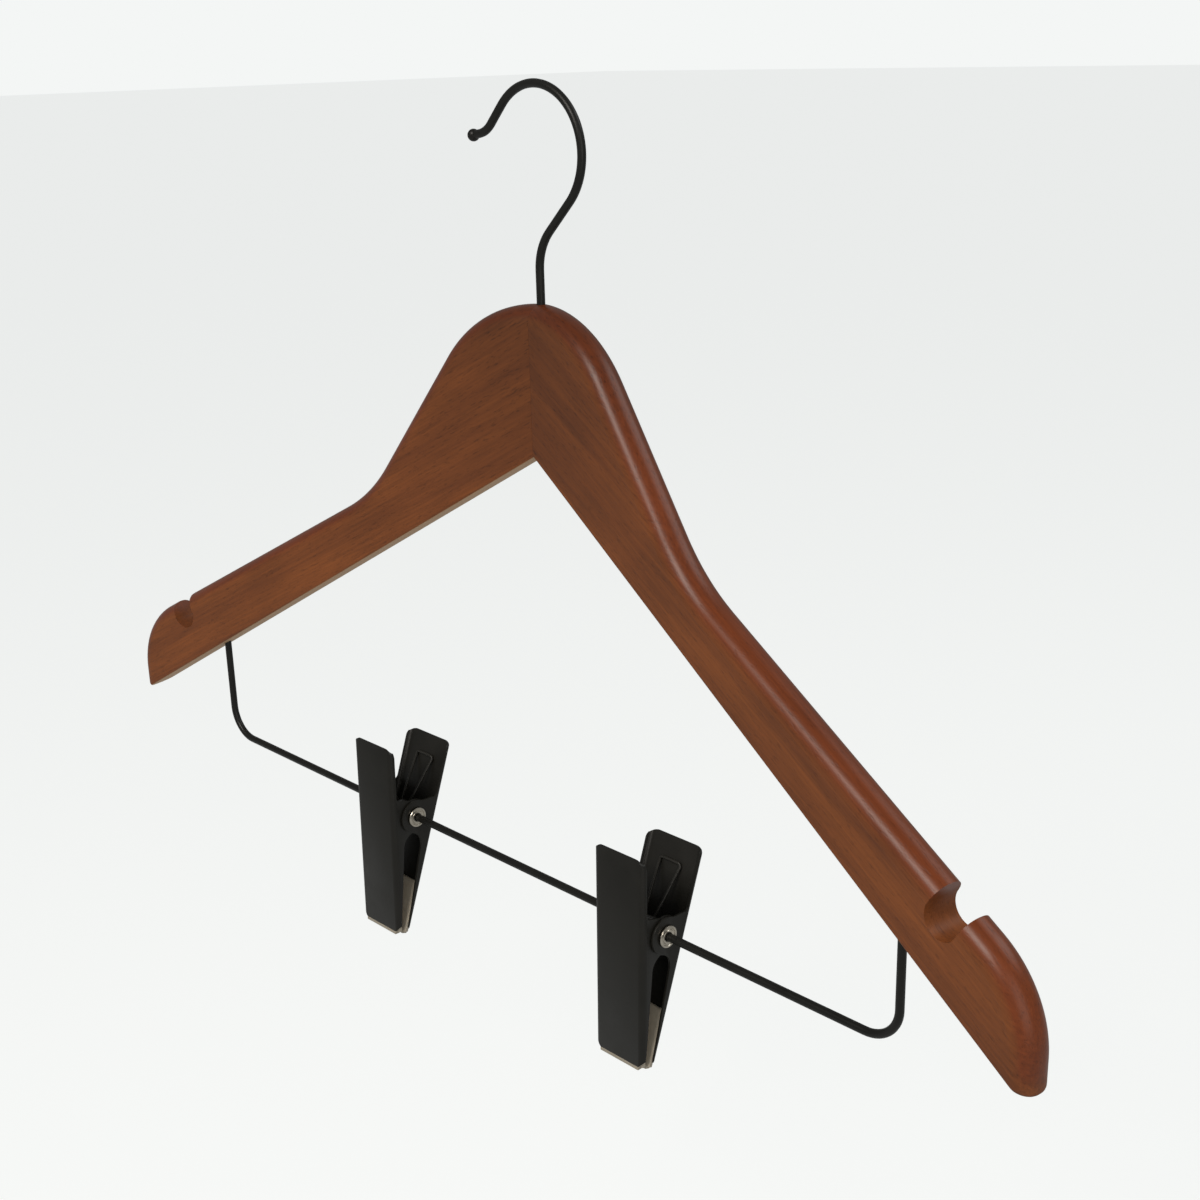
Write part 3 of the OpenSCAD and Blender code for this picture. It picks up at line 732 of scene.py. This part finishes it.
def plate_tool(clip, half_width):
    """The plate seen from the front, with round upper corners and cut lower corners."""
    corner, top = clip.corner, clip.top_corner
    outline = arc(Vector((half_width - top, clip.handle - top)), top, 0, math.pi / 2, 8)
    outline += [Vector((half_width, corner - clip.jaw)), Vector((half_width - corner, -clip.jaw))]
    outline += [Vector((corner - half_width, -clip.jaw)), Vector((-half_width, corner - clip.jaw))]
    outline += arc(Vector((top - half_width, clip.handle - top)), top, -math.pi / 2, 0, 8)
    return prism("plate_tool", outline, -0.03, 0.03, "Y")


def flange_tool(clip):
    """The jaw seen from the side: the plate, its side lips, the ear round the pivot, and the arched eye."""
    deep = plate_depth(clip)
    sheet, corner = clip.sheet, clip.corner
    foot = sheet + clip.pad / 2 - deep
    arch = deep - clip.strip
    over, curl, fillet = 0.002, 0.0013, 0.0015
    outline = [Vector((-deep - over, clip.handle + over))]
    outline += [Vector((clip.lip - deep - curl, clip.handle + over))]
    outline += arc(Vector((clip.lip - deep - curl, clip.handle - 0.0014)), curl, 0, math.pi / 2, 5)
    outline += [Vector((clip.lip - deep, clip.flange_top + fillet))]
    hollow = Vector((clip.lip - deep + fillet, clip.flange_top + fillet))
    outline += arc(hollow, fillet, math.radians(-100), math.radians(-180), 5)[1:]
    outline += arc(Vector((0, 0)), clip.ear, math.radians(-12), math.pi, 22)
    outline += arc(Vector((0, -clip.ear - arch)), arch, math.radians(-4), math.radians(-90), 10)
    outline += [Vector((foot, corner - clip.jaw)), Vector((sheet - deep, -clip.jaw - over))]
    outline += [Vector((-deep - over, -clip.jaw - over))]
    return prism("flange_tool", outline, -0.02, 0.02, "X")


def pressed_jaw(name, clip, half_width):
    """A jaw as pressed: a rounded channel of sheet, trimmed from the side and the front, then bored."""
    deep = plate_depth(clip)
    over = 0.002
    height, depth = clip.handle + clip.jaw + 2 * over, deep + clip.ear + over
    deselect()
    bpy.ops.mesh.primitive_cube_add(size=1, location=(0, depth / 2 - deep, (clip.handle - clip.jaw) / 2),
                                    scale=(2 * half_width, depth, height))
    piece = bpy.context.object
    piece.name = name
    bpy.ops.object.transform_apply(location=True, rotation=True, scale=True)
    bpy.ops.object.mode_set(mode="EDIT")
    bpy.ops.mesh.select_mode(type="EDGE")
    bpy.ops.mesh.select_all(action="DESELECT")
    mesh = bmesh.from_edit_mesh(piece.data)
    for edge in mesh.edges:
        a, b = edge.verts[0].co, edge.verts[1].co
        edge.select = abs(a.z - b.z) > 0.01 and a.y < 0 and b.y < 0
    bmesh.update_edit_mesh(piece.data)
    bpy.ops.mesh.bevel(offset=clip.bend, offset_type="OFFSET", segments=7, profile=0.5, affect="EDGES")
    bpy.ops.mesh.select_mode(type="FACE")
    bpy.ops.mesh.select_all(action="DESELECT")
    mesh = bmesh.from_edit_mesh(piece.data)
    for face in mesh.faces:
        face.select = abs(face.normal.z) > 0.9 or face.normal.y > 0.9
    bmesh.update_edit_mesh(piece.data)
    bpy.ops.mesh.delete(type="FACE")
    bpy.ops.object.mode_set(mode="OBJECT")
    apply(piece, "SOLIDIFY", thickness=clip.sheet, offset=-1, use_even_offset=True)
    cut(piece, flange_tool(clip), "INTERSECT")
    cut(piece, plate_tool(clip, half_width), "INTERSECT")
    cut(piece, rod(clip.barrel + PIVOT_ROOM, 0.05, (0, 0, 0), (0, math.pi / 2, 0), 48))
    apply(piece, "BEVEL", width=0.00016, segments=2, limit_method="ANGLE", angle_limit=math.radians(40))
    return piece


class HANGER_OT_jaws(bpy.types.Operator):
    """Make the four pressed jaws of the two clips"""
    bl_idname = "hanger.jaws"
    bl_label = "Jaws"

    def execute(self, context):
        clip = context.scene.hanger_clips
        black = satin_black("satin_black_sheet", tuple(clip.colour), 0.0007, 0.40)
        outer = clip.width / 2
        for side in ("left", "right"):
            for end, half_width in (("back", outer), ("front", outer - clip.sheet - clip.ear_gap)):
                piece = pressed_jaw(f"{side}_{end}_plate", clip, half_width)
                set_down(piece, clip_place(side, clip, end == "back"), [black])
                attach(piece, f"{side}_{end}")
                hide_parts(f"{side}_{end}_jaw")
        return {"FINISHED"}


class HANGER_OT_pads(bpy.types.Operator):
    """Make the four vinyl pads"""
    bl_idname = "hanger.pads"
    bl_label = "Pads"

    def execute(self, context):
        clip = context.scene.hanger_clips
        vinyl = soft_vinyl("taupe_vinyl", tuple(clip.vinyl))
        deep, outer = plate_depth(clip), clip.width / 2
        for side in ("left", "right"):
            for end, half_width in (("back", outer), ("front", outer - clip.sheet - clip.ear_gap)):
                room = half_width - clip.sheet
                face, foot = clip.sheet - deep, -clip.jaw
                wide = room + clip.sheet - clip.corner
                top, inside = foot + clip.pad_height, face + clip.pad
                block = [(face, foot - 0.0002), (inside, foot - 0.0002), (inside, top - 0.001),
                         (inside - 0.0004, top), (face, top)]
                lip = [(-deep, foot - 0.00002), (-deep, foot - clip.pad_lip), (inside, foot - clip.pad_lip),
                       (inside, foot - 0.00002)]
                piece = prism(f"{side}_{end}_grip", block, 0.0001 - room, room - 0.0001, "X")
                cut(piece, prism("lip", lip, -wide, wide, "X"), "UNION")
                apply(piece, "BEVEL", width=0.0003, segments=3, limit_method="ANGLE",
                      angle_limit=math.radians(40))
                set_down(piece, clip_place(side, clip, end == "back"), [vinyl])
                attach(piece, f"{side}_{end}")
                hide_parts(f"{side}_{end}_pad")
        return {"FINISHED"}


class HANGER_OT_rivets(bpy.types.Operator):
    """Make the two tubular rivets, turned from their profile"""
    bl_idname = "hanger.rivets"
    bl_label = "Rivets"

    def execute(self, context):
        clip = context.scene.hanger_clips
        nickel = nickel_plate("nickel_rivet", tuple(clip.nickel))
        bore = context.scene.hanger_wires.bar_wire / 2 + BAR_ROOM
        seat = clip.width / 2 + clip.ear_gap
        end = seat + clip.flange_thickness
        half = [(0, bore), (end - 0.0004, bore), (end - 0.0001, bore + 0.0002), (end, bore + 0.0005)]
        half += [(end, clip.barrel + 0.0001), (end - 0.0003, clip.barrel + 0.0003)]
        half += [(end - 0.0003, clip.flange - 0.0009), (end, clip.flange - 0.0007)]
        half += [(end, clip.flange - 0.0003)]
        half += [(end - 0.0001, clip.flange - 0.0001), (end - 0.0003, clip.flange)]
        half += [(seat + 0.0002, clip.flange - 0.00005), (seat, clip.flange - 0.0002), (seat, clip.barrel)]
        outline = half + [(-x, r) for x, r in reversed(half[1:])]
        for side in ("left", "right"):
            deselect()
            bpy.ops.mesh.primitive_circle_add(vertices=len(outline), fill_type="NOTHING")
            piece = bpy.context.object
            piece.name = side + "_tube_rivet"
            bpy.ops.object.mode_set(mode="EDIT")
            mesh = bmesh.from_edit_mesh(piece.data)
            for v, (x, r) in zip(mesh.verts, outline):
                v.co = (x, 0, r)
            bmesh.update_edit_mesh(piece.data)
            bpy.ops.mesh.select_all(action="SELECT")
            bpy.ops.mesh.spin(steps=64, angle=math.tau, center=(0, 0, 0), axis=(1, 0, 0))
            bpy.ops.mesh.select_all(action="SELECT")
            bpy.ops.mesh.remove_doubles(threshold=1e-6)
            bpy.ops.mesh.normals_make_consistent(inside=False)
            bpy.ops.object.mode_set(mode="OBJECT")
            set_down(piece, clip_place(side, clip, False, tilted=False), [nickel], 35)
            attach(piece, side + "_rider")
            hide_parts(side + "_rivet")
        return {"FINISHED"}


class HANGER_OT_springs(bpy.types.Operator):
    """Make the two double torsion springs: coils and bridge on the back jaw, free ends on the front"""
    bl_idname = "hanger.springs"
    bl_label = "Springs"

    def execute(self, context):
        clip = context.scene.hanger_clips
        steel = satin_black("oiled_spring_steel", linear("#1d1c19"), 0.0008, 0.38)
        radius = clip.spring_wire / 2
        mid = clip.barrel + clip.coil_gap + radius
        reach = (plate_depth(clip) - clip.sheet) / math.cos(clip.half_angle) - radius - 0.0001
        tilt = math.tan(clip.half_angle)
        bridge = Vector((reach + clip.bridge_height * tilt, clip.bridge_height))
        free = Vector((-reach - clip.leg_height * tilt, clip.leg_height))
        # Each coil starts this far from the clip's middle
        start = 0.0015
        inner, outer = start + radius, start + clip.coil_width - radius
        turns, steps = 3.5, 24
        for side in ("left", "right"):
            path = []
            for i in range(int(turns * steps) + 1):
                t = math.pi * 2 * i / steps
                x = outer + (inner - outer) * i / (turns * steps)
                path.append(Vector((-x, -mid * math.cos(t), -mid * math.sin(t))))
            path += [Vector((-clip.bridge_half, bridge.x, bridge.y - 0.001)),
                     Vector((-clip.bridge_half + 0.0003, bridge.x, bridge.y - 0.0003)),
                     Vector((-clip.bridge_half + 0.001, bridge.x, bridge.y))]
            path += [Vector((-p.x, p.y, p.z)) for p in reversed(path)]
            coils = drawn_wire(side + "_spring_coils", path, radius, 3)
            set_down(coils, clip_place(side, clip, False, tilted=False), [steel], 50)
            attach(coils, side + "_back")
            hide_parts(side + "_spring")
            legs = []
            for hand in (-1, 1):
                ends = [Vector((hand * outer, -mid, -0.0002)), Vector((hand * outer, -mid - 0.0002, 0.001)),
                        Vector((hand * outer, free.x, free.y))]
                legs.append(drawn_wire(side + "_spring_ends", ends, radius * 0.98, 3))
            piece = joined(legs)
            set_down(piece, clip_place(side, clip, False, tilted=False), [steel], 50)
            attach(piece, side + "_front")
        return {"FINISHED"}


# ---------------------------------------------------------------------------------------------
# Stage


def soft_light(name, place, target, width, power, colour):
    """A square lamp that faces a target and isn't seen itself."""
    deselect()
    bpy.ops.object.light_add(type="AREA", location=place)
    lamp = bpy.context.object
    lamp.name = name
    lamp.rotation_euler = (Vector(target) - Vector(place)).to_track_quat("-Z", "Y").to_euler()
    lamp.data.shape = "SQUARE"
    lamp.data.size = width
    lamp.data.energy = power
    lamp.data.color = linear(colour)
    lamp.visible_camera = False


class HANGER_OT_stage(bpy.types.Operator):
    """Set the pale floor, the soft studio lights and the camera"""
    bl_idname = "hanger.stage"
    bl_label = "Stage"

    def execute(self, context):
        stage = context.scene.hanger_stage
        deselect()
        bpy.ops.mesh.primitive_plane_add(size=60, location=(0, 0, CAD_LOW.z - stage.floor_drop))
        floor = bpy.context.object
        floor.name = "floor"
        paper, tree, shader = blank("matt_paper_floor")
        shader.inputs["Base Color"].default_value = (*(c * 0.3 for c in stage.floor), 1)
        shader.inputs["Roughness"].default_value = 0.9
        shader.inputs["Emission Color"].default_value = (*stage.floor, 1)
        # The floor, and the sky below, look brighter to the camera than the light they give
        paths = add(tree, "ShaderNodeLightPath").outputs["Is Camera Ray"]
        glow = add(tree, "ShaderNodeMapRange", {"Value": paths, "To Min": 0.30, "To Max": 0.815})
        tree.links.new(glow.outputs[0], shader.inputs["Emission Strength"])
        floor.data.materials.append(paper)
        world = bpy.data.worlds.new("studio")
        context.scene.world = world
        world.use_nodes = True
        sky = world.node_tree.nodes["Background"]
        sky.inputs["Color"].default_value = (*stage.floor, 1)
        seen = add(world.node_tree, "ShaderNodeLightPath").outputs["Is Camera Ray"]
        glow = add(world.node_tree, "ShaderNodeMapRange", {"Value": seen, "To Min": 0.28, "To Max": 1.0})
        world.node_tree.links.new(glow.outputs[0], sky.inputs["Strength"])
        context.scene.view_settings.view_transform = "Standard"
        middle = (0, -0.02, -0.15)
        soft_light("key", (0.12, -1.3, 0.92), middle, 0.6, stage.key_power, "#fff8f0")
        soft_light("fill", (1.3, -0.6, 0.2), middle, 1.0, stage.fill_power, "#fffaf4")
        soft_light("rim", (0.8, 1.0, 1.0), middle, 0.8, stage.rim_power, "#ffffff")
        # A full-frame camera in front, to the right, level with the hook
        bpy.ops.object.camera_add(location=(0.40832, -0.37426, 0.01255))
        camera = bpy.context.object
        camera.data.lens = 49.41
        camera.data.sensor_width = 36
        yaw, pitch, roll = math.radians(45.72), math.radians(18.63), math.radians(-1.49)
        back = Vector((math.sin(yaw) * math.cos(pitch), -math.cos(yaw) * math.cos(pitch), math.sin(pitch)))
        aim = (-back).to_track_quat("-Z", "Y").to_matrix().to_4x4()
        camera.rotation_euler = (aim @ Matrix.Rotation(roll, 4, "Z")).to_euler()
        context.scene.camera = camera
        return {"FINISHED"}


class HANGER_PT_panel(bpy.types.Panel):
    """Lists the hanger's pieces in the order in which they are made"""
    bl_idname = "HANGER_PT_panel"
    bl_label = "Suit hanger"
    bl_space_type = "VIEW_3D"
    bl_region_type = "UI"
    bl_category = "Hanger"

    def draw(self, context):
        for name, steps in (("hanger_boards", ("boards",)), ("hanger_wires", ("hook", "bar")),
                            ("hanger_clips", ("jaws", "pads", "rivets", "springs")),
                            ("hanger_stage", ("stage",))):
            settings = getattr(context.scene, name)
            box = self.layout.box()
            for step in steps:
                box.operator("hanger." + step)
            for prop in settings.bl_rna.properties:
                if prop.identifier not in {"rna_type", "name"}:
                    box.prop(settings, prop.identifier)


SETTINGS = {"hanger_boards": BoardSettings, "hanger_wires": WireSettings, "hanger_clips": ClipSettings,
            "hanger_stage": StageSettings}
OPERATORS = (HANGER_OT_boards, HANGER_OT_hook, HANGER_OT_bar, HANGER_OT_jaws, HANGER_OT_pads,
             HANGER_OT_rivets, HANGER_OT_springs, HANGER_OT_stage)


def register():
    for kind in (*SETTINGS.values(), *OPERATORS, HANGER_PT_panel):
        bpy.utils.register_class(kind)
    for name, kind in SETTINGS.items():
        setattr(bpy.types.Scene, name, PointerProperty(type=kind))


def unregister():
    for name in SETTINGS:
        delattr(bpy.types.Scene, name)
    for kind in reversed((*SETTINGS.values(), *OPERATORS, HANGER_PT_panel)):
        bpy.utils.unregister_class(kind)


def main():
    register()
    bpy.ops.hanger.boards()
    bpy.ops.hanger.hook()
    bpy.ops.hanger.bar()
    bpy.ops.hanger.jaws()
    bpy.ops.hanger.pads()
    bpy.ops.hanger.rivets()
    bpy.ops.hanger.springs()
    bpy.ops.hanger.stage()


if __name__ == "__main__":
    main()
